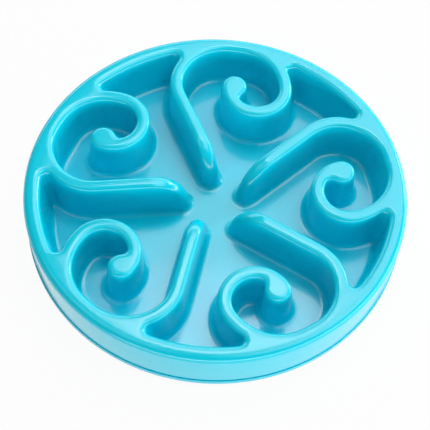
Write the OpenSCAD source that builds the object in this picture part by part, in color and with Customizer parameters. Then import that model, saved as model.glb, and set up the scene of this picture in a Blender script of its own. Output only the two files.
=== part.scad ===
// Slow feeding bowl for a dog or cat, in millimetres.
// One hollow plastic moulding carries a round rim and skirt, a flat food floor and five
// spiral walls, each made of a straight wall and a curled wall that grow out of the rim.
// Five rubber feet sit in round sockets under the food floor.
// The frame stands on the table at z = 0, with the bowl's axis on z and +y pointing at
// the loop of the first spiral wall.

/* [Rim and skirt] */
// Outer radius of the rim and of the foot lip
bowl_r = 105; // [98:0.5:115]
// Height of the rim's top above the table
rim_top = 29; // [26:0.5:36]
// Wall thickness of the whole moulding
shell_t = 2.2; // [1.6:0.1:2.6]
// Width of the rim from its inner wall to its outer edge
rim_w = 9; // [8:0.25:12]
// Rounding of the rim's outer edge
rim_outer_round = 3.2; // [2:0.1:4]
// Rounding of the rim's inner edge
rim_inner_round = 2.5; // [1.5:0.1:3.5]
// How far the bowl's inner wall leans in from the rim to the food floor
inner_lean = 3.4; // [1:0.1:4]
// How far the skirt stands back under the rim's edge
skirt_setback = 0.7; // [0.3:0.1:1.2]
// How far the skirt leans out from the rim to the foot lip
skirt_flare = 0.3; // [0.1:0.1:0.6]
// Height of the foot lip at the bottom of the skirt
lip_h = 3.2; // [2:0.1:5]
// Height of the groove above the foot lip
lip_groove_h = 0.5; // [0.3:0.1:1]
// Depth of that groove below the lip's face
lip_groove_d = 1; // [0.9:0.05:1.2]
// Bevel on the lip's lower edge
lip_bevel = 0.4; // [0.2:0.1:0.8]
// Gap between the table and the foot lip
lip_clear = 0.8; // [0.4:0.1:1.2]

/* [Food floor] */
// Height of the food floor above the table
floor_top = 4.5; // [4:0.1:6]
// Radius of the fillet where walls meet the food floor
floor_fillet = 2.3; // [1.2:0.1:2.6]

/* [Spiral walls] */
// Drop of the walls' crest below the rim's top
crest_drop = 0.3; // [0.2:0.1:1]
// Width of every wall across its sides, at the level of the crest
wall_w = 7.1; // [6.4:0.1:8.2]
// Rounding of the crest's edges
crest_round = 2; // [1:0.1:2.4]
// Draft angle of the walls' sides, in degrees
wall_draft = 4.5; // [2:0.5:6]
// Radius in plan of the pockets' corners where a wall runs into the rim
corner_r = 3.2; // [2.8:0.1:4]
// Angle about a loop's centre, from its outermost point, where the loop starts to round into the rim
loop_corner_angle = 62; // [60:1:66]
// Radius of the knob that ends each curl, at the level of the crest
knob_r = 6.9; // [5.5:0.1:8]
// Loop centre of a spiral, sideways and out from the bowl's axis, as shares of bowl_r
loop_centre_shares = [0.052, 0.66];
// Radius of the loop, as a share of bowl_r
loop_share = 0.305;
// Radius of the curl, as a share of bowl_r
curl_share = 0.157;
// Radius of the bend between the loop and the straight run, as a share of bowl_r
bend_share = 0.14;
// Inner end of the straight run, sideways and out, as shares of bowl_r
run_end_shares = [-0.052, 0.222];
// Direction of the straight run, in degrees from +x
run_angle = 115.1;
// Length over which the crest is level before it falls, from the run's end, as a share
nose_back_share = 0.10;
// Length of the falling nose, as a share of bowl_r
nose_share = 0.195;
// Angle that the curl turns through before its knob, in degrees
curl_angle = 185; // [175:1:190]

/* [Rubber feet] */
// Radius of a rubber foot
foot_r = 6.5; // [5:0.1:7]
// Rounding of a rubber foot's lower edge
foot_round = 0.6; // [0.3:0.1:0.9]
// Radial gap between a foot and its socket
foot_gap = 0.2; // [0.1:0.05:0.4]
// Wall thickness of a foot socket
socket_t = 1.4; // [1:0.1:1.8]
// Depth of a foot socket below the food floor's underside
socket_d = 1.2; // [0.8:0.1:1.4]
// Distance of the feet from the bowl's axis, as a share of bowl_r
foot_place_share = 0.77;
// Direction of the first foot, in degrees from +x
foot_angle = 121; // [119:1:123]

/* [Hidden] */
wall_count = 5;
overrun = 0.5;
arc_steps = 8;
fillet_steps = 3;
loop_steps = 6;
corner_steps = 4;
bend_steps = 4;
run_steps = 3;
nose_steps = 10;
curl_steps = 14;
knob_steps = 14;
crest_angles = [60, 35];
nose_angles = [52, 36, 21];
plastic = [0.10, 0.80, 0.88];
rubber = [0.22, 0.24, 0.26];
$fn = 96;

floor_under = floor_top - shell_t;
crest_z = rim_top - crest_drop;
ceiling_z = crest_z - max(shell_t, crest_round);
fillet_z = floor_top + floor_fillet;
inner_top_r = bowl_r - rim_w;
inner_foot_r = inner_top_r - inner_lean;
floor_r = inner_foot_r - floor_fillet;
skirt_top_r = bowl_r - skirt_setback;
skirt_low_r = skirt_top_r + skirt_flare;
groove_r = bowl_r - lip_groove_d;
lip_top = lip_clear + lip_h;

loop_c = bowl_r * loop_centre_shares;
loop_r = bowl_r * loop_share;
curl_r = bowl_r * curl_share;
bend_r = bowl_r * bend_share;
run_end = bowl_r * run_end_shares;
run_dir = [cos(run_angle), sin(run_angle)];
run_side = [sin(run_angle), -cos(run_angle)];
// The bend touches the straight run's centreline and, from inside, the loop's centreline
bend_arm = run_end + bend_r * run_side - loop_c;
bend_along = -(run_dir * bend_arm);
bend_chord = sqrt(bend_along * bend_along - bend_arm * bend_arm + (loop_r - bend_r) * (loop_r - bend_r));
run_len = bend_along + bend_chord;
bend_c = run_end + bend_r * run_side + run_len * run_dir;
bend_start = run_angle + 90;
bend_stop = atan2(bend_c[1] - loop_c[1], bend_c[0] - loop_c[0]);
loop_dir = atan2(loop_c[1], loop_c[0]);

curl_c = loop_c + [loop_r - curl_r, 0];
knob_off = knob_r - wall_w / 2;
knob_arm = curl_r - knob_off;
knob_c = curl_c + knob_arm * [cos(curl_angle), -sin(curl_angle)];

nose_back = bowl_r * nose_back_share;
nose_len = bowl_r * nose_share;

// Points along an arc about c, both ends included
function arc(c, r, from, to, steps) =
    [for (i = [0 : steps]) let (a = from + (to - from) * i / steps) c + r * [cos(a), sin(a)]];

// The same without its last point, for chaining
function arc_open(c, r, from, to, steps) =
    [for (i = [0 : steps - 1]) let (a = from + (to - from) * i / steps) c + r * [cos(a), sin(a)]];

function line_open(p, q, steps) = [for (i = [0 : steps - 1]) p + (q - p) * i / steps];

// Inner face of the bowl's wall from the food floor up to the rim's flat top
function inner_face() =
    let (lean = atan2(inner_lean, rim_top - rim_inner_round - fillet_z))
    concat(
        arc([inner_foot_r - floor_fillet, fillet_z], floor_fillet, 270, 360 - lean, fillet_steps),
        arc(
            [inner_top_r + rim_inner_round, rim_top - rim_inner_round],
            rim_inner_round, 180 - lean, 90, arc_steps
        )
    );
face = inner_face();

// Radius of that face at height z
function face_r(z, i = 0) =
    i >= len(face) - 2 || z <= face[i + 1][1]
    ? face[i][0] + (face[i + 1][0] - face[i][0]) * (z - face[i][1]) / (face[i + 1][1] - face[i][1])
    : face_r(z, i + 1);

// Half width of a wall at height z between its straight sides, or of its hollow for an inset
function side_x(inset, z) = wall_w / 2 + (crest_z - z) * tan(wall_draft) - inset / cos(wall_draft);

// Front of the falling nose at height z, measured inward from the run's end
function nose_front(inset, z) =
    let (rise = max(0, z - floor_top) / (crest_z - inset - floor_top))
    (nose_len - inset) * sqrt(max(0, 1 - rise * rise)) - nose_back;

// A level of a wall: height, half width, the nose's centre inward from the run's end, and the
// radius of the pocket's corner at the rim, which is 0 in the hollow
function crest_level(a) =
    let (
        z = crest_z - crest_round * (1 - sin(a)),
        w = side_x(crest_round, crest_z - crest_round) + crest_round * cos(a)
    )
    [z, w, nose_front(0, z) - w, corner_r + side_x(0, z) - w];
function side_level(inset, z) =
    let (w = side_x(inset, z))
    [z, w, nose_front(inset, z) - w, inset == 0 ? corner_r : 0];
function fillet_level(a) =
    let (
        z = fillet_z + floor_fillet * sin(a),
        flare = floor_fillet * (1 / cos(wall_draft) + cos(a))
    )
    [z, side_x(0, fillet_z) + flare, nose_front(0, z) - side_x(0, z), corner_r - flare];

function fillet_angle(i) = 180 + wall_draft + (90 - wall_draft) * i / fillet_steps;

// Levels from the crest down to the floor, with more of them where a nose falls
function between(kind, inset, top_z) =
    kind == "straight"
    ? [for (a = nose_angles) side_level(inset, floor_top + (top_z - floor_top) * sin(a))]
    : [];
function outer_levels(kind) = concat(
    [crest_level(90)],
    [for (a = crest_angles) crest_level(a)],
    [crest_level(wall_draft)],
    between(kind, 0, crest_z),
    [for (i = [0 : fillet_steps]) fillet_level(fillet_angle(i))]
);
function hollow_levels(kind) = concat(
    [side_level(shell_t, ceiling_z)],
    between(kind, shell_t, ceiling_z),
    [for (i = [0 : fillet_steps]) side_level(shell_t, fillet_z + floor_fillet * sin(fillet_angle(i)))]
);

// Direction about the loop's centre where a circle of radius r about that centre meets a circle
// of radius wall_r about the axis, left of the outermost direction for a hand of 1, or right for -1
function meet(hand, r, wall_r) =
    loop_dir + hand * acos((wall_r * wall_r - loop_c * loop_c - r * r) / (2 * r * norm(loop_c)));

// Direction about the loop's centre where the pocket's rounded corner runs into the wall
function corner_end(hand, w, corner, wall_r) = meet(hand, loop_r + w + corner, wall_r - corner);

// Outer side of a wall from the rim as far as the direction stop, without its last point
function outer_side(hand, w, corner, wall_r, stop) =
    let (
        start = meet(hand, loop_r + w, wall_r),
        seat = fillet_level(270),
        join = corner > 0
            ? corner_end(hand, w, corner, wall_r)
            : corner_end(hand, seat[1], seat[3], floor_r),
        c = loop_c + (loop_r + w + corner) * [cos(join), sin(join)]
    )
    concat(
        corner > 0
        ? concat(
            [loop_c + (loop_r + w) * [cos(start), sin(start)]],
            arc_open(c, corner, atan2(c[1], c[0]), join - hand * 180, corner_steps)
        )
        : arc_open(loop_c, loop_r + w, start, join, corner_steps + 1),
        arc_open(loop_c, loop_r + w, join, stop, loop_steps)
    );

// Side of a wall inside its loop, from the rim as far as the direction stop, without its last point
function loop_side(hand, w, corner, wall_r, stop) =
    let (
        flare = max(0, w - side_x(0, fillet_z)),
        side = loop_r - w + flare,
        edge_r = flare > 0 ? face_r(fillet_z) : wall_r,
        start = meet(hand, loop_r - w, wall_r),
        join = loop_dir + hand * loop_corner_angle,
        arm = [cos(join), sin(join)],
        touch = loop_c + side * arm,
        round_r = (edge_r * edge_r - touch * touch) / (2 * (edge_r - loop_c * arm - side)),
        c = touch - round_r * arm
    )
    corner > 0
    ? concat(
        [loop_c + (loop_r - w) * [cos(start), sin(start)]],
        arc_open(c, round_r - flare, atan2(c[1], c[0]), join, corner_steps),
        arc_open(loop_c, loop_r - w, join, stop, loop_steps)
    )
    : arc_open(loop_c, loop_r - w, start, stop, loop_steps + corner_steps + 1);

function reversed(v) = [for (i = [len(v) - 1 : -1 : 0]) v[i]];

// Outline of the straight wall at one level, anticlockwise from the rim round the nose to the rim
function straight_path(level, wall_r) =
    let (
        w = level[1],
        bend_at = run_end + run_len * run_dir,
        tip_at = run_end - level[2] * run_dir
    )
    concat(
        outer_side(1, w, level[3], wall_r, bend_stop),
        arc_open(bend_c, bend_r + w, bend_stop, bend_start, bend_steps),
        line_open(bend_at - w * run_side, tip_at - w * run_side, run_steps),
        arc_open(tip_at, w, run_angle + 90, run_angle + 270, nose_steps),
        line_open(tip_at + w * run_side, bend_at + w * run_side, run_steps),
        arc_open(bend_c, bend_r - w, bend_start, bend_stop, bend_steps),
        [loop_c + (loop_r - w) * [cos(bend_stop), sin(bend_stop)]],
        reversed(loop_side(1, w, level[3], wall_r, bend_stop))
    );

// Outline of the curled wall at one level, anticlockwise from the rim round the knob to the rim
function curl_path(level, wall_r) =
    let (
        w = level[1],
        inner_r = curl_r - w,
        round_r = knob_off + w,
        notch_cos = (knob_arm * knob_arm + inner_r * inner_r - round_r * round_r) / (2 * knob_arm * inner_r),
        notch = acos(notch_cos),
        notch_at = curl_c + inner_r * [cos(notch - curl_angle), sin(notch - curl_angle)],
        notch_dir = atan2(notch_at[1] - knob_c[1], notch_at[0] - knob_c[0])
    )
    concat(
        loop_side(-1, w, level[3], wall_r, 0),
        arc_open(curl_c, inner_r, 0, notch - curl_angle, curl_steps),
        arc_open(knob_c, round_r, notch_dir, 360 - curl_angle, knob_steps),
        arc(curl_c, curl_r + w, -curl_angle, 0, curl_steps),
        reversed(outer_side(-1, w, level[3], wall_r, 0))
    );

function path_of(kind, level, wall_r) =
    kind == "straight" ? straight_path(level, wall_r) : curl_path(level, wall_r);

// Triangles across one leg of a wall's end, from skin level i and hollow level j down to the
// seat; outer and inner hold the heights, m is a level's point count and at the end's index
function leg(outer, inner, m, at, i, j) =
    let (
        skin_done = i == len(outer) - 1,
        hollow_done = j == len(inner) - 1,
        skin = i * m + at,
        bare = (len(outer) + j) * m + at
    )
    skin_done && hollow_done ? []
    : hollow_done || (!skin_done && outer[i + 1] >= inner[j + 1])
    ? concat([[skin, skin + m, bare]], leg(outer, inner, m, at, i + 1, j))
    : concat([[skin, bare + m, bare]], leg(outer, inner, m, at, i, j + 1));

// One wall as a closed skin over its hollow, open below at the food floor
module wall(kind) {
    levels = concat(outer_levels(kind), hollow_levels(kind));
    n = len(outer_levels(kind));
    h = len(hollow_levels(kind));
    heights = [for (v = levels) v[0]];
    paths = [for (v = levels) path_of(kind, v, face_r(v[0]))];
    m = len(paths[0]);
    last = m - 1;
    mid = last / 2;
    points = [for (j = [0 : n + h - 1]) each [for (p = paths[j]) [p[0], p[1], heights[j]]]];
    skin = [for (j = [0 : n - 2], i = [0 : last - 1])
        [j * m + i, j * m + i + 1, (j + 1) * m + i + 1, (j + 1) * m + i]];
    inside = [for (j = [n : n + h - 2], i = [0 : last - 1])
        [j * m + i, (j + 1) * m + i, (j + 1) * m + i + 1, j * m + i + 1]];
    crest = concat(
        [for (i = [0 : mid - 2]) [i, last - i, last - i - 1, i + 1]],
        [[mid - 1, mid + 1, mid]]
    );
    ceiling = [for (f = crest) reversed([for (k = f) n * m + k])];
    seat = [for (i = [0 : last - 1])
        [(n - 1) * m + i, (n - 1) * m + i + 1, (n + h - 1) * m + i + 1, (n + h - 1) * m + i]];
    // The end against the rim goes right across above the hollow, and has two legs beside it
    brow = len(crest_angles) + 1;
    skin_z = [for (j = [0 : n - 1]) heights[j]];
    hollow_z = [for (j = [n : n + h - 1]) heights[j]];
    ends = concat(
        [for (j = [0 : brow - 1]) [j * m + last, j * m, (j + 1) * m, (j + 1) * m + last]],
        [[brow * m + last, brow * m, n * m, n * m + last]],
        leg(skin_z, hollow_z, m, 0, brow, 0),
        [for (f = leg(skin_z, hollow_z, m, last, brow, 0)) reversed(f)]
    );
    color(plastic)
        polyhedron(points, concat(skin, inside, crest, ceiling, seat, ends));
}

// Slots in the floor that open the walls' hollows from below
module wall_slots() {
    foot = side_level(shell_t, floor_top);
    for (kind = ["straight", "curl"])
        translate([0, 0, floor_under - overrun])
            linear_extrude(shell_t + 2 * overrun)
                polygon(path_of(kind, foot, floor_r - shell_t));
}

module rim_and_skirt() {
    top_in = inner_top_r + shell_t;
    foot_in = inner_foot_r + shell_t;
    color(plastic)
        rotate_extrude()
            polygon(concat(
                face,
                arc([bowl_r - rim_outer_round, rim_top - rim_outer_round], rim_outer_round, 90, 0, arc_steps),
                [
                    [skirt_top_r, rim_top - rim_outer_round - skirt_setback],
                    [skirt_low_r, lip_top + lip_groove_h],
                    [groove_r, lip_top + lip_groove_h],
                    [groove_r, lip_top],
                    [bowl_r, lip_top],
                    [bowl_r, lip_clear + lip_bevel],
                    [bowl_r - lip_bevel, lip_clear],
                    [skirt_low_r - shell_t, lip_clear],
                    [skirt_top_r - shell_t, rim_top - shell_t - rim_outer_round],
                    [skirt_top_r - shell_t - rim_outer_round / 2, rim_top - shell_t],
                    [top_in + rim_inner_round / 2, rim_top - shell_t],
                    [top_in, rim_top - shell_t - rim_inner_round],
                    [foot_in, fillet_z],
                    [foot_in, floor_under],
                    [floor_r, floor_under]
                ]
            ));
}

module foot_places() {
    for (i = [0 : wall_count - 1])
        rotate([0, 0, foot_angle - i * 360 / wall_count])
            translate([bowl_r * foot_place_share, 0, 0])
                children();
}

module food_floor() {
    socket_r = foot_r + foot_gap;
    color(plastic)
        difference() {
            union() {
                translate([0, 0, floor_under])
                    cylinder(r = floor_r, h = shell_t);
                foot_places()
                    translate([0, 0, floor_under - socket_d])
                        cylinder(r = socket_r + socket_t, h = socket_d + shell_t / 2);
            }
            foot_places()
                translate([0, 0, floor_under - socket_d - overrun])
                    cylinder(r = socket_r, h = socket_d + overrun);
            for (i = [0 : wall_count - 1])
                rotate([0, 0, -i * 360 / wall_count])
                    wall_slots();
        }
}

module rubber_foot() {
    color(rubber)
        rotate([0, 0, foot_angle])
            translate([bowl_r * foot_place_share, 0, 0])
                rotate_extrude()
                    polygon(concat(
                        [[0, 0]],
                        arc([foot_r - foot_round, foot_round], foot_round, 270, 360, fillet_steps),
                        [[foot_r, floor_under], [0, floor_under]]
                    ));
}

// Turns its children from the first place to the place with the given number
module at_place(number) {
    rotate([0, 0, (1 - number) * 360 / wall_count])
        children();
}

rim_and_skirt();
food_floor();
at_place(1) wall("straight");  // straight_wall_1
at_place(2) wall("straight");  // straight_wall_2
at_place(3) wall("straight");  // straight_wall_3
at_place(4) wall("straight");  // straight_wall_4
at_place(5) wall("straight");  // straight_wall_5
at_place(1) wall("curl");  // curl_wall_1
at_place(2) wall("curl");  // curl_wall_2
at_place(3) wall("curl");  // curl_wall_3
at_place(4) wall("curl");  // curl_wall_4
at_place(5) wall("curl");  // curl_wall_5
at_place(1) rubber_foot();  // rubber_foot_1
at_place(2) rubber_foot();  // rubber_foot_2
at_place(3) rubber_foot();  // rubber_foot_3
at_place(4) rubber_foot();  // rubber_foot_4
at_place(5) rubber_foot();  // rubber_foot_5
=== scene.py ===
"""Looks of the slow feeder bowl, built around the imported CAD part."""

import math

import bpy
import numpy as np
from mathutils import Matrix, Vector


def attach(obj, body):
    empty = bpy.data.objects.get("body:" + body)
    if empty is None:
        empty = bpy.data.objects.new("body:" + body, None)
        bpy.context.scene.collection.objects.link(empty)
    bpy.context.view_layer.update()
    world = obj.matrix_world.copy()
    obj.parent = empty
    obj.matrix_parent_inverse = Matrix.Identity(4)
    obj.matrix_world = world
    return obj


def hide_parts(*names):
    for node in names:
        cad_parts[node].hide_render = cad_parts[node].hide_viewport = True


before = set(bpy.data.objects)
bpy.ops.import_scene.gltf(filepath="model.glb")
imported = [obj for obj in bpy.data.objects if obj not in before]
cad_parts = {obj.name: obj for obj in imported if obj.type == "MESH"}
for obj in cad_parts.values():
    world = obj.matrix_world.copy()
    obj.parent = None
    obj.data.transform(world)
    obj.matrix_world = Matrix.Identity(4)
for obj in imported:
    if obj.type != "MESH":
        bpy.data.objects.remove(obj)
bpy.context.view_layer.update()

MM = 0.001
TWO_PI = 2 * math.pi

# Sizes of the bowl in millimetres, as in the part's source
BOWL_R = 105.0
RIM_TOP = 29.0
SHELL_T = 2.2
RIM_W = 9.0
RIM_OUTER_ROUND = 3.2
RIM_INNER_ROUND = 2.5
INNER_LEAN = 3.4
SKIRT_SETBACK = 0.7
SKIRT_FLARE = 0.3
LIP_H = 3.2
LIP_GROOVE_H = 0.5
LIP_GROOVE_D = 1.0
LIP_BEVEL = 0.4
LIP_CLEAR = 0.8
FLOOR_TOP = 4.5
FLOOR_FILLET = 2.3
CREST_DROP = 0.3
WALL_HALF = 7.1 / 2
CREST_ROUND = 2.0
WALL_DRAFT = math.radians(4.5)
CORNER_R = 3.2
LOOP_CORNER_ANGLE = math.radians(62)
KNOB_R = 6.9
RUN_ANGLE = math.radians(115.1)
CURL_ANGLE = math.radians(185)
WALL_COUNT = 5
FOOT_R = 6.5
FOOT_ROUND = 0.6
FOOT_GAP = 0.2
SOCKET_T = 1.4
SOCKET_D = 1.2
FOOT_PLACE = 0.77 * BOWL_R
FOOT_ANGLE = math.radians(121)

# One spiral: its loop, curl, bend and straight run in plan, and the run's falling nose
LOOP_C = BOWL_R * np.array([0.052, 0.66])
LOOP_R = BOWL_R * 0.305
CURL_R = BOWL_R * 0.157
# The part's bend has a share of 0.14; here it is eased, so that the wall flows out of the loop
BEND_R = BOWL_R * 0.24
RUN_END = BOWL_R * np.array([-0.052, 0.222])
NOSE_BACK = BOWL_R * 0.10
NOSE_LEN = BOWL_R * 0.195

CREST_Z = RIM_TOP - CREST_DROP
INNER_TOP_R = BOWL_R - RIM_W
FACE_LEAN = math.atan2(INNER_LEAN, RIM_TOP - RIM_INNER_ROUND - FLOOR_TOP - FLOOR_FILLET)
RUN_DIR = np.array([math.cos(RUN_ANGLE), math.sin(RUN_ANGLE)])
RUN_SIDE = np.array([math.sin(RUN_ANGLE), -math.cos(RUN_ANGLE)])
LOOP_DIR = math.atan2(LOOP_C[1], LOOP_C[0])
BEND_ARM = RUN_END + BEND_R * RUN_SIDE - LOOP_C
BEND_ALONG = -RUN_DIR @ BEND_ARM
RUN_LEN = BEND_ALONG + math.sqrt(BEND_ALONG ** 2 - BEND_ARM @ BEND_ARM + (LOOP_R - BEND_R) ** 2)
BEND_C = RUN_END + BEND_R * RUN_SIDE + RUN_LEN * RUN_DIR
BEND_START = RUN_ANGLE + math.pi / 2
BEND_STOP = math.atan2(BEND_C[1] - LOOP_C[1], BEND_C[0] - LOOP_C[0]) % TWO_PI
# Directions on the loop, both in the rim, where the straight wall starts and the curled wall ends
LOOP_FROM = math.radians(100)
LOOP_TO = math.radians(75)
CURL_C = LOOP_C + np.array([LOOP_R - CURL_R, 0.0])
KNOB_OFF = KNOB_R - WALL_HALF
KNOB_ARM = CURL_R - KNOB_OFF
KNOB_C = CURL_C + KNOB_ARM * np.array([math.cos(CURL_ANGLE), -math.sin(CURL_ANGLE)])

# Blends that the moulding has where its walls meet
NOTCH_R = 3.0
# Width of the blend in the notch beside the knob, as a share of its radius
NOTCH_SHARE = 1.66
# Half width of a wall at which the notch beside the knob is placed
NOTCH_W = 4.4
NOTCH_NEAR = 4.0
NOTCH_FAR = 8.0
HOLLOW_ROUND = 0.5
# Radius at which the walls' crest has risen to the rim, and the width of that rise
BLEND_FROM_R = 97.5
BLEND_WIDTH = 9.0
# Radius outside which the pockets' rounded corners lie, and how far their fill reaches
CORNERS_FROM_R = 76.0
CORNER_REACH = 26.0
LOOP_FILL_DEPTH = 6.0

# Fine rounding of the skirt's corners
RIM_LOW_ROUND = 0.25
SKIRT_TOP_ROUND = 0.35
GROOVE_EDGE_ROUND = 0.18
GROOVE_ROOT_ROUND = 0.1
LIP_INNER_ROUND = 0.5
RIM_UNDER_ROUND = 1.2

# Dimple in the middle of a rubber foot's face
DIMPLE_DEPTH = 0.35
DIMPLE_R = 1.8
DIMPLE_EDGE_R = 2.2
DIMPLE_ROUND = 0.3
FOOT_TOP_ROUND = 0.15

# The mesh's pitch, and the radius on the flat rim where it meets the turned outer part
PITCH = 1.2
EDGE_R = 100.0
# Rounds in which the mesh is evened out, and how far a vertex goes in one of them
RELAX_ROUNDS = 10
RELAX_SHARE = 0.6
ANGLE_ROUNDS = 60


def unit(angle):
    return np.array([math.cos(angle), math.sin(angle)])


def notch_place():
    """Where the knob's side meets the inner side of its curl."""
    inner = CURL_R - NOTCH_W
    outer = KNOB_OFF + NOTCH_W
    turn = math.acos((KNOB_ARM ** 2 + inner ** 2 - outer ** 2) / (2 * KNOB_ARM * inner))
    return CURL_C + inner * unit(turn - CURL_ANGLE)


NOTCH = notch_place()


def smooth(x):
    """Eases from 0 to 1 as x goes from 0 to 1."""
    x = np.clip(x, 0, 1)
    return x * x * (3 - 2 * x)


def distance(p, c):
    return np.hypot(p[:, 0] - c[0], p[:, 1] - c[1])


def arc_distance(p, c, r, start, stop):
    """Plan distance from the points to the arc about c from start up to stop."""
    turn = (np.arctan2(p[:, 1] - c[1], p[:, 0] - c[0]) - start) % TWO_PI
    ends = np.minimum(distance(p, c + r * unit(start)), distance(p, c + r * unit(stop)))
    return np.where(turn <= stop - start, np.abs(distance(p, c) - r), ends)


def wall_side(distances, z, inset):
    """Field of a wall's drafted side from plan distances to its centreline."""
    return (distances - WALL_HALF) * math.cos(WALL_DRAFT) + (z - CREST_Z) * math.sin(WALL_DRAFT) + inset


def wall_distance(p, z, inset):
    """Plan distance to the centrelines of one spiral's straight wall and curled wall."""
    just_below_crest = 0.9995
    rise = np.clip((z - FLOOR_TOP) / (CREST_Z - inset - FLOOR_TOP), 0, just_below_crest)
    front = (NOSE_LEN - inset) * np.sqrt(1 - rise * rise) - NOSE_BACK
    half = -wall_side(0, z, inset) / math.cos(WALL_DRAFT)
    along = (p - RUN_END) @ RUN_DIR
    along = along - np.clip(along, half - front, RUN_LEN)
    straight = np.minimum(
        np.hypot(along, (p - RUN_END) @ RUN_SIDE),
        np.minimum(
            arc_distance(p, LOOP_C, LOOP_R, LOOP_FROM, BEND_STOP),
            arc_distance(p, BEND_C, BEND_R, BEND_STOP, BEND_START),
        ),
    )
    stroke = np.minimum(
        arc_distance(p, LOOP_C, LOOP_R, 0.0, LOOP_TO),
        arc_distance(p, CURL_C, CURL_R, -CURL_ANGLE, 0.0),
    )
    knob = distance(p, KNOB_C) - KNOB_OFF
    blend = NOTCH_SHARE * NOTCH_R * smooth((NOTCH_FAR - distance(p, NOTCH)) / (NOTCH_FAR - NOTCH_NEAR))
    close = np.maximum(blend - np.abs(stroke - knob), 0)
    curled = np.minimum(stroke, knob) - close * close / np.maximum(4 * blend, 1e-6)
    return np.minimum(straight, curled)


def face_r(z):
    """Radius of the bowl's leaning inner wall."""
    return INNER_TOP_R + (z - RIM_TOP + RIM_INNER_ROUND) * math.tan(FACE_LEAN)


def cross(u, v):
    return u[..., 0] * v[..., 1] - u[..., 1] * v[..., 0]


def arc_fill(q, radius, to_wall, to_rim, far_side, reach):
    """Field of the fill behind an arc between wall and rim, with q measured from the arc's centre."""
    whole = cross(to_wall, to_rim)
    within = (cross(to_wall, q) / whole > 0) & (cross(q, to_rim) / whole > 0)
    gap = np.hypot(q[:, 0], q[:, 1])
    fill = np.maximum((radius - gap) * math.cos(WALL_DRAFT), far_side)
    return np.where(within & (gap < reach), fill, np.inf)


def corner_fill(p, z, hand):
    """Field of what rounds the pocket's corner between the rim and one side of the loop."""
    outer = face_r(z) - CORNER_R
    reach = LOOP_R - wall_side(0, z, 0) / math.cos(WALL_DRAFT) + CORNER_R
    away = np.linalg.norm(LOOP_C)
    turn = np.arccos((outer * outer - away * away - reach * reach) / (2 * reach * away))
    turn = LOOP_DIR + hand * turn
    arm = np.stack([np.cos(turn), np.sin(turn)], 1)
    centre = LOOP_C + reach[:, None] * arm
    far_side = wall_side(LOOP_R - distance(p, LOOP_C), z, 0)
    return arc_fill(p - centre, CORNER_R, -arm, centre, far_side, CORNER_REACH)


def loop_fill(p, z, hand):
    """Field of what rounds a loop's corner between its inner side and the rim."""
    arm = unit(LOOP_DIR + hand * LOOP_CORNER_ANGLE)
    side = LOOP_R + wall_side(0, z, 0) / math.cos(WALL_DRAFT)
    touch = LOOP_C + side[:, None] * arm
    wall_r = face_r(z)
    radius = (wall_r ** 2 - (touch * touch).sum(1)) / (2 * (wall_r - LOOP_C @ arm - side))
    centre = touch - radius[:, None] * arm
    far_side = wall_side(distance(p, LOOP_C) - LOOP_R, z, 0)
    return arc_fill(p - centre, radius, arm, centre, far_side, radius + LOOP_FILL_DEPTH)


def round_union(a, b, k):
    """Field of two shapes together, with a fillet of radius k between them."""
    u = np.maximum(k - a, 0)
    v = np.maximum(k - b, 0)
    return np.maximum(k, np.minimum(a, b)) - np.sqrt(u * u + v * v)


def round_meet(a, b, k):
    """Field of what two shapes share, with its edge rounded to radius k."""
    u = np.maximum(k + a, 0)
    v = np.maximum(k + b, 0)
    return np.minimum(-k, np.maximum(a, b)) + np.sqrt(u * u + v * v)


def field(P, inset):
    """Below zero inside the moulding's filled outline, or inside its hollow for an inset."""
    p = P[:, :2]
    z = P[:, 2]
    r = np.hypot(p[:, 0], p[:, 1])
    face = (INNER_TOP_R - r) * math.cos(FACE_LEAN)
    sides = face + (z - RIM_TOP + RIM_INNER_ROUND) * math.sin(FACE_LEAN)
    outside = r > CORNERS_FROM_R
    for i in range(WALL_COUNT):
        c, s = unit(TWO_PI * i / WALL_COUNT)
        q = np.stack([c * p[:, 0] - s * p[:, 1], s * p[:, 0] + c * p[:, 1]], 1)
        sides = np.minimum(sides, wall_side(wall_distance(q, z, inset), z, 0))
        for hand in (-1, 1):
            for fill in (corner_fill, loop_fill):
                filled = fill(q[outside], z[outside], hand)
                sides[outside] = np.minimum(sides[outside], filled)
    mix = smooth((BLEND_FROM_R - r) / BLEND_WIDTH)
    top = z - RIM_TOP + CREST_DROP * mix + inset
    rounding = RIM_INNER_ROUND + (CREST_ROUND - RIM_INNER_ROUND) * mix - inset
    solid = round_meet(sides + inset, top, np.maximum(rounding, HOLLOW_ROUND))
    return round_union(solid, z - FLOOR_TOP + inset, FLOOR_FILLET + inset)


def slope(P, inset):
    """The field and its gradient."""
    step = 0.005
    f = field(P, inset)
    g = np.empty_like(P)
    for k in range(3):
        Q = P.copy()
        Q[:, k] += step
        g[:, k] = (field(Q, inset) - f) / step
    return f, g


def settle(P, inset, rounds, cap=0.8):
    """Moves the points onto the field's zero surface, by cap at most in one round."""
    for _ in range(rounds):
        f, g = slope(P, inset)
        s = -(f / np.maximum((g * g).sum(1), 1e-9))[:, None] * g
        far = np.linalg.norm(s, axis=1)
        P = P + s * (np.minimum(far, cap) / np.maximum(far, 1e-12))[:, None]
    return P


def cell_corners():
    return [(a, b, c) for a in (0, 1) for b in (0, 1) for c in (0, 1)]


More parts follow.
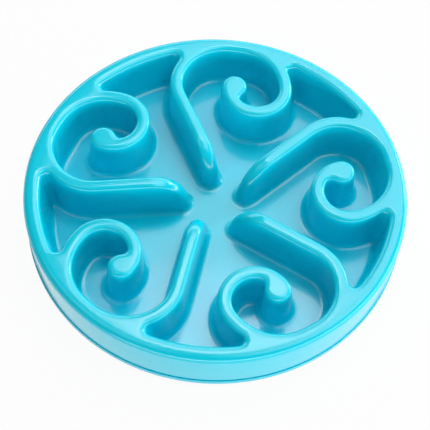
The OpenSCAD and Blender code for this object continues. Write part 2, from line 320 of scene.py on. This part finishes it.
def sampled_grid(inset):
    """Grid coordinates across and up, and the field at the grid's points."""
    # Cells beyond the moulding on every side
    margin = 2
    n = math.ceil(EDGE_R / PITCH) + margin
    across = np.arange(-n, n + 1) * PITCH
    low = FLOOR_TOP - inset - (margin - 0.5) * PITCH
    up = low + PITCH * np.arange(math.ceil((RIM_TOP - FLOOR_TOP) / PITCH) + 2 * margin)
    X, Y, Z = np.meshgrid(across, across, up, indexing="ij")
    P = np.stack([X.ravel(), Y.ravel(), Z.ravel()], 1)
    values = np.ones(len(P))
    keep = np.hypot(P[:, 0], P[:, 1]) < EDGE_R + margin * PITCH
    values[keep] = field(P[keep], inset)
    return across, up, values.reshape(X.shape)


def crossed_cells(inside, across):
    """Marks the grid's cells within EDGE_R that have corners inside and outside the moulding."""
    shape = tuple(k - 1 for k in inside.shape)
    count = np.zeros(shape, int)
    corners = cell_corners()
    for a, b, c in corners:
        count += inside[a:a + shape[0], b:b + shape[1], c:c + shape[2]]
    mid = (across[:-1] + across[1:]) / 2
    near = np.hypot(mid[:, None], mid[None, :]) < EDGE_R
    return (count > 0) & (count < len(corners)) & near[:, :, None]


def cell_points(values, cells):
    """Mean of the places, within each cell, where the surface cuts the cell's edges."""
    total = np.zeros((len(cells), 3))
    hits = np.zeros(len(cells))
    for corner in cell_corners():
        for axis in range(3):
            if corner[axis]:
                continue
            other = list(corner)
            other[axis] = 1
            start = values[tuple((cells + corner).T)]
            stop = values[tuple((cells + other).T)]
            cut = (start < 0) != (stop < 0)
            at = np.tile(np.array(corner, float), (len(cells), 1))
            at[:, axis] += np.where(cut, start / np.where(cut, start - stop, 1), 0)
            total[cut] += at[cut]
            hits[cut] += 1
    return total / hits[:, None]


def cell_quads(inside, index):
    """Quads that join the four cells round each of the grid's edges that the surface cuts."""
    quads = []
    shape = index.shape
    for axis in range(3):
        b, c = (axis + 1) % 3, (axis + 2) % 3
        first = np.moveaxis(inside, axis, 0)[:-1]
        second = np.moveaxis(inside, axis, 0)[1:]
        for flip in (False, True):
            found = (~first & second) if flip else (first & ~second)
            q = np.argwhere(np.moveaxis(found, 0, axis))
            q = q[(q[:, b] > 0) & (q[:, c] > 0) & (q[:, b] < shape[b]) & (q[:, c] < shape[c])]
            ring = []
            for db, dc in ((-1, -1), (0, -1), (0, 0), (-1, 0)):
                w = q.copy()
                w[:, b] += db
                w[:, c] += dc
                ring.append(index[tuple(w.T)])
            f = np.stack(ring, 1)
            f = f[(f >= 0).all(1)]
            quads.append(f[:, ::-1] if flip else f)
    return np.concatenate(quads)


def net(inset):
    """Quads of the field's zero surface inside EDGE_R, one vertex to each crossed cell."""
    across, up, values = sampled_grid(inset)
    inside = values < 0
    crossed = crossed_cells(inside, across)
    cells = np.argwhere(crossed)
    index = np.full(crossed.shape, -1)
    index[crossed] = np.arange(len(cells))
    V = np.stack([across[cells[:, 0]], across[cells[:, 1]], up[cells[:, 2]]], 1)
    V = V + cell_points(values, cells) * PITCH
    F = cell_quads(inside, index)
    used = np.unique(F)
    again = np.full(len(V), -1)
    again[used] = np.arange(len(used))
    return V[used], again[F]


def edges_of(F):
    return np.concatenate([F[:, [k, (k + 1) % 4]] for k in range(4)])


def rim_loop(V, F):
    """The boundary vertices in order, anticlockwise from the +x side."""
    e = edges_of(F)
    size = F.max() + 1
    lone = e[~np.isin(e[:, 0] * size + e[:, 1], e[:, 1] * size + e[:, 0])]
    following = dict(lone.tolist())
    loop = [int(lone[0, 0])]
    while following[loop[-1]] != loop[0]:
        loop.append(following[loop[-1]])
    loop = np.array(loop)
    angle = np.arctan2(V[loop, 1], V[loop, 0])
    if ((np.roll(angle, -1) - angle + math.pi) % TWO_PI - math.pi).sum() < 0:
        loop = loop[::-1]
        angle = angle[::-1]
    return np.roll(loop, -int(np.argmin(angle % TWO_PI)))


def even_angles(V, loop):
    """Angles of the loop's vertices, evened out with their neighbours."""
    angle = np.unwrap(np.arctan2(V[loop, 1], V[loop, 0]))
    for _ in range(ANGLE_ROUNDS):
        before = np.roll(angle, 1)
        after = np.roll(angle, -1)
        before[0] -= TWO_PI
        after[-1] += TWO_PI
        angle = (before + 2 * angle + after) / 4
    return angle


def relax(V, F, loop, inset):
    """Evens the mesh out along its own surface, with the boundary kept."""
    e = np.unique(np.sort(edges_of(F), 1), axis=0)
    n = len(V)
    degree = np.bincount(e.ravel(), minlength=n)[:, None]
    free = np.ones(n, bool)
    free[loop] = False
    for _ in range(RELAX_ROUNDS):
        mean = np.empty_like(V)
        for k in range(3):
            mean[:, k] = np.bincount(e[:, 0], V[e[:, 1], k], n)
            mean[:, k] += np.bincount(e[:, 1], V[e[:, 0], k], n)
        pull = mean / degree - V
        f, g = slope(V, inset)
        size = np.maximum((g * g).sum(1), 1e-9)[:, None]
        pull -= (pull * g).sum(1)[:, None] * g / size
        V = V + (RELAX_SHARE * pull - f[:, None] * g / size) * free[:, None]
    V[free] = settle(V[free], inset, rounds=2)
    return V


def sheet(inset, angles=None):
    """Mesh of the skin, or of the hollow for an inset, with a round boundary on the rim."""
    V, F = net(inset)
    loop = rim_loop(V, F)
    V = settle(V, inset, rounds=3)
    if angles is None:
        angles = even_angles(V, loop)
    V[loop] = np.stack([
        EDGE_R * np.cos(angles), EDGE_R * np.sin(angles), np.full(len(loop), RIM_TOP - inset)
    ], 1)
    V = relax(V, F, loop, inset)
    return V, F, loop, angles


def rounded(corners, steps):
    """A profile from corners of radius, height and rounding, with the first and last left sharp."""
    points = [np.array(corner[:2], float) for corner in corners]
    out = [points[0]]
    for before, corner, after, (_, _, r) in zip(points, points[1:], points[2:], corners[1:]):
        a = before - corner
        b = after - corner
        a /= np.linalg.norm(a)
        b /= np.linalg.norm(b)
        half = math.acos(np.clip(a @ b, -1, 1)) / 2
        middle = (a + b) / np.linalg.norm(a + b)
        centre = corner + middle * r / math.sin(half)
        start = corner + a * r / math.tan(half) - centre
        stop = corner + b * r / math.tan(half) - centre
        sweep = math.atan2(start[0] * stop[1] - start[1] * stop[0], start @ stop)
        for k in range(steps + 1):
            t = sweep * k / steps
            c, s = math.cos(t), math.sin(t)
            out.append(centre + np.array([c * start[0] - s * start[1], s * start[0] + c * start[1]]))
    out.append(points[-1])
    return np.array(out)


def outer_profile():
    """Radius and height from the flat rim over its edge, down the skirt and up inside it."""
    skirt_r = BOWL_R - SKIRT_SETBACK
    skirt_low_r = skirt_r + SKIRT_FLARE
    groove_r = BOWL_R - LIP_GROOVE_D
    lip_top = LIP_CLEAR + LIP_H
    groove_top = lip_top + LIP_GROOVE_H
    edge_z = RIM_TOP - RIM_OUTER_ROUND - RIM_LOW_ROUND
    corners = [
        (EDGE_R, RIM_TOP, 0),
        (BOWL_R, RIM_TOP, RIM_OUTER_ROUND),
        (BOWL_R, edge_z, RIM_LOW_ROUND),
        (skirt_r, edge_z - SKIRT_SETBACK, SKIRT_TOP_ROUND),
        (skirt_low_r, groove_top, GROOVE_EDGE_ROUND),
        (groove_r, groove_top, GROOVE_ROOT_ROUND),
        (groove_r, lip_top, GROOVE_ROOT_ROUND),
        (BOWL_R, lip_top, GROOVE_EDGE_ROUND),
        (BOWL_R, LIP_CLEAR, LIP_BEVEL),
        (skirt_low_r - SHELL_T, LIP_CLEAR, LIP_INNER_ROUND),
        (skirt_r - SHELL_T, RIM_TOP - SHELL_T, RIM_UNDER_ROUND),
        (EDGE_R, RIM_TOP - SHELL_T, 0),
    ]
    return rounded(corners, steps=5)


def foot_place(number):
    return FOOT_PLACE * unit(FOOT_ANGLE - TWO_PI * (number - 1) / WALL_COUNT)


def socket_rings(segments=64):
    """Vertices and faces of the round sockets under the food floor, which hold the feet."""
    inner = FOOT_R + FOOT_GAP
    outer = inner + SOCKET_T
    low = FLOOR_TOP - SHELL_T - SOCKET_D
    high = FLOOR_TOP - SHELL_T / 2
    angles = TWO_PI * np.arange(segments) / segments
    V = []
    F = []
    for number in range(1, WALL_COUNT + 1):
        x, y = foot_place(number)
        first = 4 * segments * (number - 1)
        for r, z in ((inner, high), (inner, low), (outer, low), (outer, high)):
            V.append(np.stack([x + r * np.cos(angles), y + r * np.sin(angles), np.full(segments, z)], 1))
        rings = [first + segments * k + np.arange(segments) for k in (0, 1, 2, 3, 0)]
        F += [
            np.stack([a, np.roll(a, -1), np.roll(b, -1), b], 1) for a, b in zip(rings, rings[1:])
        ]
    return np.concatenate(V), np.concatenate(F)


def moulding_mesh():
    """Vertices and faces of the whole plastic moulding, in millimetres."""
    top, top_faces, top_loop, angles = sheet(0.0)
    under, under_faces, under_loop, _ = sheet(SHELL_T, angles)
    count = len(top_loop)
    profile = outer_profile()[1:-1]
    rings = [
        np.stack([r * np.cos(angles), r * np.sin(angles), np.full(count, z)], 1) for r, z in profile
    ]
    V = np.concatenate([top, under] + rings)
    under_faces = under_faces[:, ::-1] + len(top)
    base = len(top) + len(under)
    chain = [top_loop] + [base + count * k + np.arange(count) for k in range(len(rings))]
    chain.append(under_loop + len(top))
    strips = [
        np.stack([a, np.roll(a, -1), np.roll(b, -1), b], 1)[:, ::-1]
        for a, b in zip(chain, chain[1:])
    ]
    sockets, socket_faces = socket_rings()
    faces = [top_faces, under_faces] + strips + [socket_faces + len(V)]
    return np.concatenate([V, sockets]), np.concatenate(faces)


def mesh_object(name, V, F, sharp_angle):
    """A smooth-shaded object from millimetres, with the edges past sharp_angle kept sharp."""
    mesh = bpy.data.meshes.new(name)
    V = np.asarray(V, float) * MM
    mesh.vertices.add(len(V))
    mesh.vertices.foreach_set("co", V.astype(np.float32).ravel())
    if isinstance(F, np.ndarray):
        sizes = np.full(len(F), F.shape[1])
        corners = F.ravel()
    else:
        sizes = np.array([len(f) for f in F])
        corners = np.array([k for f in F for k in f])
    mesh.loops.add(len(corners))
    mesh.loops.foreach_set("vertex_index", corners.astype(np.int32))
    mesh.polygons.add(len(sizes))
    starts = np.concatenate([[0], np.cumsum(sizes)[:-1]])
    mesh.polygons.foreach_set("loop_start", starts.astype(np.int32))
    mesh.update(calc_edges=True)
    mesh.validate()
    mesh.polygons.foreach_set("use_smooth", np.ones(len(sizes), bool))
    obj = bpy.data.objects.new(name, mesh)
    bpy.context.scene.collection.objects.link(obj)
    mesh.set_sharp_from_angle(angle=sharp_angle)
    return obj


def turned(name, profile, segments, at):
    """A closed solid of revolution about at, from a profile that starts and ends on its axis."""
    profile = np.array(profile, float)
    inner = profile[1:-1]
    angles = TWO_PI * np.arange(segments) / segments
    V = [np.array([[at[0], at[1], profile[0][1]], [at[0], at[1], profile[-1][1]]])]
    for r, z in inner:
        V.append(np.stack([
            at[0] + r * np.cos(angles), at[1] + r * np.sin(angles), np.full(segments, z)
        ], 1))
    ring = [2 + segments * k + np.arange(segments) for k in range(len(inner))]
    F = []
    for a, b in zip(ring, ring[1:]):
        F += [(int(a[i]), int(a[i - segments + 1]), int(b[i - segments + 1]), int(b[i]))
              for i in range(segments)]
    for i in range(segments):
        j = (i + 1) % segments
        F.append((0, int(ring[0][j]), int(ring[0][i])))
        F.append((1, int(ring[-1][i]), int(ring[-1][j])))
    return mesh_object(name, np.concatenate(V), F, sharp_angle=math.radians(35))


def node_tree(owner):
    """An empty node tree for a material or the world."""
    owner.use_nodes = True
    owner.node_tree.nodes.clear()
    return owner.node_tree


def add(tree, kind, inputs=None, **settings):
    """A node whose inputs are set to values, or linked where they are given an output."""
    node = tree.nodes.new(kind)
    for key, value in settings.items():
        setattr(node, key, value)
    for socket, content in (inputs or {}).items():
        if isinstance(content, bpy.types.NodeSocket):
            tree.links.new(content, node.inputs[socket])
        else:
            node.inputs[socket].default_value = content
    return node


def noise(tree, scale, detail, roughness=0.5):
    """Noise that is fixed to the piece, with scale in waves to the metre."""
    place = add(tree, "ShaderNodeTexCoord")
    return add(tree, "ShaderNodeTexNoise", {
        "Vector": place.outputs["Object"], "Scale": scale, "Detail": detail, "Roughness": roughness,
    }).outputs["Fac"]


def tinted(tree, source, *stops):
    """Colour between two stops, each a position and a colour."""
    ramp = add(tree, "ShaderNodeValToRGB", {"Fac": source})
    for element, (position, colour) in zip(ramp.color_ramp.elements, stops):
        element.position = position
        element.color = (*colour, 1)
    return ramp.outputs["Color"]


def spread(tree, source, low, high):
    """The noise's usual span, stretched from low to high."""
    return add(tree, "ShaderNodeMapRange", {
        "Value": source, "From Min": 0.3, "From Max": 0.7, "To Min": low, "To Max": high,
    }).outputs["Result"]


def bump(tree, source, strength, depth, below=None):
    """Surface normal with a relief of depth metres, on top of another one if given."""
    inputs = {"Height": source, "Strength": strength, "Distance": depth}
    if below is not None:
        inputs["Normal"] = below
    return add(tree, "ShaderNodeBump", inputs).outputs["Normal"]


def surfaced(name, describe):
    """A material whose shader takes the inputs that describe gives for its tree."""
    material = bpy.data.materials.new(name)
    tree = node_tree(material)
    shader = add(tree, "ShaderNodeBsdfPrincipled", describe(tree))
    add(tree, "ShaderNodeOutputMaterial", {"Surface": shader.outputs["BSDF"]})
    return material


def plastic(tree):
    """Glossy moulded turquoise plastic with faint flow marks and a fine grain."""
    cloud = noise(tree, scale=14.0, detail=3.0)
    ripple = noise(tree, scale=45.0, detail=2.0, roughness=0.4)
    grain = noise(tree, scale=900.0, detail=2.0, roughness=0.6)
    flow = bump(tree, ripple, strength=0.25, depth=0.0004)
    return {
        "Base Color": tinted(tree, cloud, (0.3, (0.0, 0.645, 0.825)), (0.7, (0.001, 0.685, 0.865))),
        "Roughness": spread(tree, cloud, low=0.16, high=0.22),
        "Normal": bump(tree, grain, strength=0.15, depth=0.00005, below=flow),
        "IOR": 1.5,
        "Coat Weight": 0.25,
        "Coat Roughness": 0.08,
        "Coat IOR": 1.5,
    }


def rubber(tree):
    """Matte dark grey rubber with a fine grain and dust."""
    dust = noise(tree, scale=180.0, detail=5.0, roughness=0.6)
    grain = noise(tree, scale=1400.0, detail=3.0)
    return {
        "Base Color": tinted(tree, dust, (0.35, (0.030, 0.034, 0.038)), (0.75, (0.060, 0.064, 0.068))),
        "Roughness": spread(tree, dust, low=0.62, high=0.8),
        "Normal": bump(tree, grain, strength=0.4, depth=0.0001),
        "IOR": 1.5,
    }


def build_bowl(material):
    V, F = moulding_mesh()
    bowl = mesh_object("bowl_moulding", V, F, sharp_angle=math.radians(40))
    bowl.data.materials.append(material)
    walls = [f"{kind}_wall_{i}" for kind in ("straight", "curl") for i in range(1, WALL_COUNT + 1)]
    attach(bowl, "root")
    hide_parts("rim_and_skirt", "food_floor", *walls)


def build_feet(material):
    seat = FLOOR_TOP - SHELL_T
    corners = [
        (0, DIMPLE_DEPTH, 0),
        (DIMPLE_R, DIMPLE_DEPTH, DIMPLE_ROUND),
        (DIMPLE_EDGE_R, 0, DIMPLE_ROUND),
        (FOOT_R, 0, FOOT_ROUND),
        (FOOT_R, seat, FOOT_TOP_ROUND),
        (0, seat, 0),
    ]
    profile = rounded(corners, steps=4)
    for number in range(1, WALL_COUNT + 1):
        foot = turned(f"foot_{number}", profile, segments=64, at=foot_place(number))
        foot.data.materials.append(material)
        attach(foot, "root")
        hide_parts(f"rubber_foot_{number}")


def build_stage():
    """A plain white floor that keeps the bowl's shadow."""
    size = 6.0
    mesh = bpy.data.meshes.new("floor")
    mesh.from_pydata(
        [(-size, -size, 0), (size, -size, 0), (size, size, 0), (-size, size, 0)], [], [(0, 1, 2, 3)]
    )
    floor = bpy.data.objects.new("floor", mesh)
    bpy.context.scene.collection.objects.link(floor)
    material = bpy.data.materials.new("white_floor")
    tree = node_tree(material)
    paint = add(tree, "ShaderNodeBsdfDiffuse", {"Color": (0.8, 0.8, 0.8, 1)})
    glow = add(tree, "ShaderNodeEmission", {"Color": (1, 1, 1, 1), "Strength": 1.0})
    path = add(tree, "ShaderNodeLightPath")
    # Share of its own glow that the camera sees in the floor, where the rest takes the shadow
    seen_glow = 0.95
    share = add(tree, "ShaderNodeMath", {
        0: path.outputs["Is Camera Ray"], 1: seen_glow, 2: path.outputs["Is Glossy Ray"],
    }, operation="MULTIPLY_ADD")
    mix = add(tree, "ShaderNodeMixShader", {
        "Fac": share.outputs[0], 1: paint.outputs["BSDF"], 2: glow.outputs["Emission"],
    })
    add(tree, "ShaderNodeOutputMaterial", {"Surface": mix.outputs["Shader"]})
    mesh.materials.append(material)


def build_world():
    """A faint fill for the bowl, which the camera sees as plain white."""
    world = bpy.data.worlds.new("studio")
    bpy.context.scene.world = world
    tree = node_tree(world)
    fill = add(tree, "ShaderNodeBackground", {"Color": (0.95, 0.98, 1.0, 1), "Strength": 0.10})
    white = add(tree, "ShaderNodeBackground", {"Color": (1, 1, 1, 1), "Strength": 1.0})
    path = add(tree, "ShaderNodeLightPath")
    mix = add(tree, "ShaderNodeMixShader", {
        "Fac": path.outputs["Is Camera Ray"], 1: fill.outputs[0], 2: white.outputs[0],
    })
    add(tree, "ShaderNodeOutputWorld", {"Surface": mix.outputs[0]})


def softbox(name, azimuth, height, size, radiance, away=1.6):
    """An area light aimed at the bowl, placed by degrees clockwise from +y and above the table."""
    turn, rise = math.radians(azimuth), math.radians(height)
    place = away * Vector((
        math.sin(turn) * math.cos(rise), math.cos(turn) * math.cos(rise), math.sin(rise)
    ))
    data = bpy.data.lights.new(name, "AREA")
    data.shape = "RECTANGLE"
    data.size, data.size_y = size
    data.energy = math.pi * data.size * data.size_y * radiance
    light = bpy.data.objects.new(name, data)
    bpy.context.scene.collection.objects.link(light)
    light.location = place
    light.rotation_euler = (-place).to_track_quat("-Z", "Y").to_euler()


def build_lights():
    softbox("key_softbox", 20, 57, (0.95, 0.86), 2.6)
    softbox("upper_panel", 2, 67, (0.35, 0.25), 4.0, 1.5)
    softbox("right_top", 90, 68, (0.9, 0.9), 2.2)
    softbox("left_top", -90, 68, (0.9, 0.9), 0.8)
    softbox("back_strip", 0, 25, (2.9, 0.57), 2.5)
    softbox("right_strip", 95, 9, (3.0, 0.4), 5.0)
    softbox("front_strip", 180, 9, (3.0, 0.4), 4.6)
    softbox("edge_light", 50, 22, (0.35, 0.35), 13.0)


def build_camera():
    """The photograph's view: focal length in pixels, tilt, roll, and where the axis lands."""
    focal = 1167.4125
    frame_px = 430.0
    tilt = math.radians(56.9606)
    roll = math.radians(2.8197)
    centre_px = (215.8779, 187.3239)
    reach = 6.0948 * BOWL_R * MM
    plane_z = 0.0269
    place = np.array([0, -math.cos(tilt), math.sin(tilt)]) * reach
    ahead = -place / np.linalg.norm(place)
    right = np.array([1.0, 0, 0])
    rows = np.array([right, np.cross(ahead, right), ahead])
    c, s = math.cos(roll), math.sin(roll)
    rows = np.array([[c, -s, 0], [s, c, 0], [0, 0, 1]]) @ rows
    axis = np.array([
        (centre_px[0] - frame_px / 2) / focal, (centre_px[1] - frame_px / 2) / focal, 1
    ])
    turn = Vector((0, 0, 1)).rotation_difference(Vector(axis)).to_matrix()
    rows = np.array(turn) @ rows
    columns = np.array([rows[0], -rows[1], -rows[2]]).T
    matrix = Matrix(columns.tolist()).to_4x4()
    matrix.translation = Vector(place.tolist()) + Vector((0, 0, plane_z))
    data = bpy.data.cameras.new("photo_camera")
    data.sensor_width = 36.0
    data.lens = focal / frame_px * data.sensor_width
    data.clip_end = 50
    camera = bpy.data.objects.new("photo_camera", data)
    bpy.context.scene.collection.objects.link(camera)
    camera.matrix_world = matrix
    bpy.context.scene.camera = camera


bpy.context.scene.view_settings.view_transform = "Standard"
build_camera()
build_world()
build_lights()
build_stage()
build_bowl(surfaced("turquoise_plastic", plastic))
build_feet(surfaced("grey_rubber", rubber))
